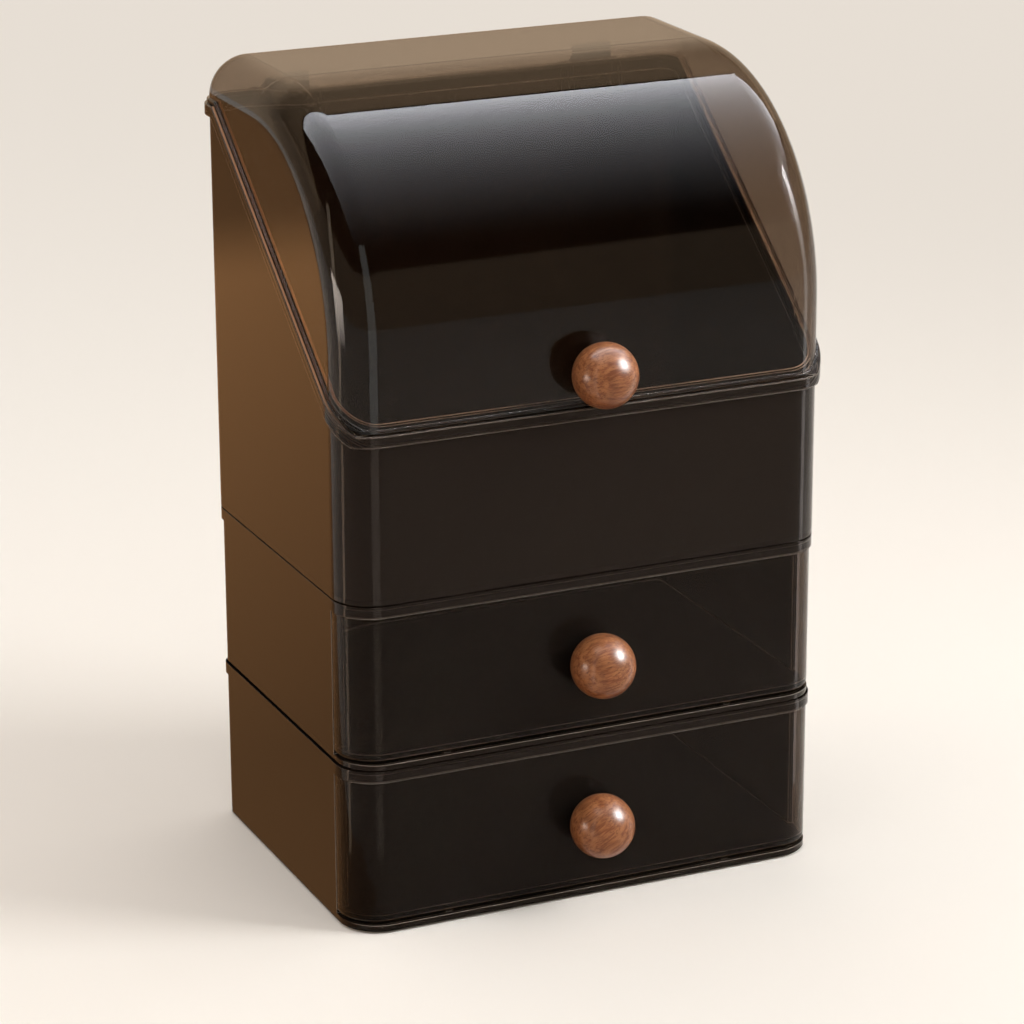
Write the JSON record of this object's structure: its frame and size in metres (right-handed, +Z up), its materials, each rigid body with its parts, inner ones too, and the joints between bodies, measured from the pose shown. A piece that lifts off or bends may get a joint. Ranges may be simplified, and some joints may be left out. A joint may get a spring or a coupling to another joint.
{
  "type": "makeup organizer",
  "caption": "Smoky clear cosmetics organizer: a hinged curved lid over a sloping bin, stacked on drawer cases with round wooden knobs.",
  "frame": {"origin": "on the table, under the middle of the whole footprint with knobs and hinges", "axes": "+Z up, front with the knobs towards -Y, +X to the right seen from the front"},
  "size_m": [0.2446, 0.2056, 0.3764],
  "materials": {
    "hood_plastic": "clear smoky brown, polished",
    "bin_plastic": "clear smoky brown, polished",
    "case_plastic": "clear smoky brown, polished",
    "drawer_plastic": "clear smoky brown, polished",
    "knob_wood": "lacquered, fine grain",
    "screw_steel": "plated",
    "washer_nylon": "natural nylon",
    "pin_steel": "drawn",
    "pad_rubber": "silicone"
  },
  "bodies": {
    "stack": {"upper_bin": "bin_plastic", "middle_case": "case_plastic", "lower_case": "case_plastic", "hinge_pin_left": "pin_steel", "hinge_pin_right": "pin_steel", "foot_pad_front_left": "pad_rubber", "foot_pad_front_right": "pad_rubber", "foot_pad_back_left": "pad_rubber", "foot_pad_back_right": "pad_rubber"},
    "lid": {"lid": "hood_plastic", "lid_knob": "knob_wood", "lid_knob_screw": "screw_steel", "lid_knob_washer": "washer_nylon"},
    "middle_drawer": {"middle_drawer": "drawer_plastic", "middle_knob": "knob_wood", "middle_knob_screw": "screw_steel", "middle_knob_washer": "washer_nylon"},
    "lower_drawer": {"lower_drawer": "drawer_plastic", "lower_knob": "knob_wood", "lower_knob_screw": "screw_steel", "lower_knob_washer": "washer_nylon"}
  },
  "joints": [
    {"name": "lid_hinge", "type": "hinge", "parent": "stack", "child": "lid", "pos_m": [0, 0.0973, 0.3532], "axis": [-1, 0, 0], "range_deg": [0, 110]},
    {"name": "middle_drawer_slide", "type": "slide", "parent": "stack", "child": "middle_drawer", "axis": [0, -1, 0], "range_m": [0, 0.1147]},
    {"name": "lower_drawer_slide", "type": "slide", "parent": "stack", "child": "lower_drawer", "axis": [0, -1, 0], "range_m": [0, 0.1147]}
  ]
}
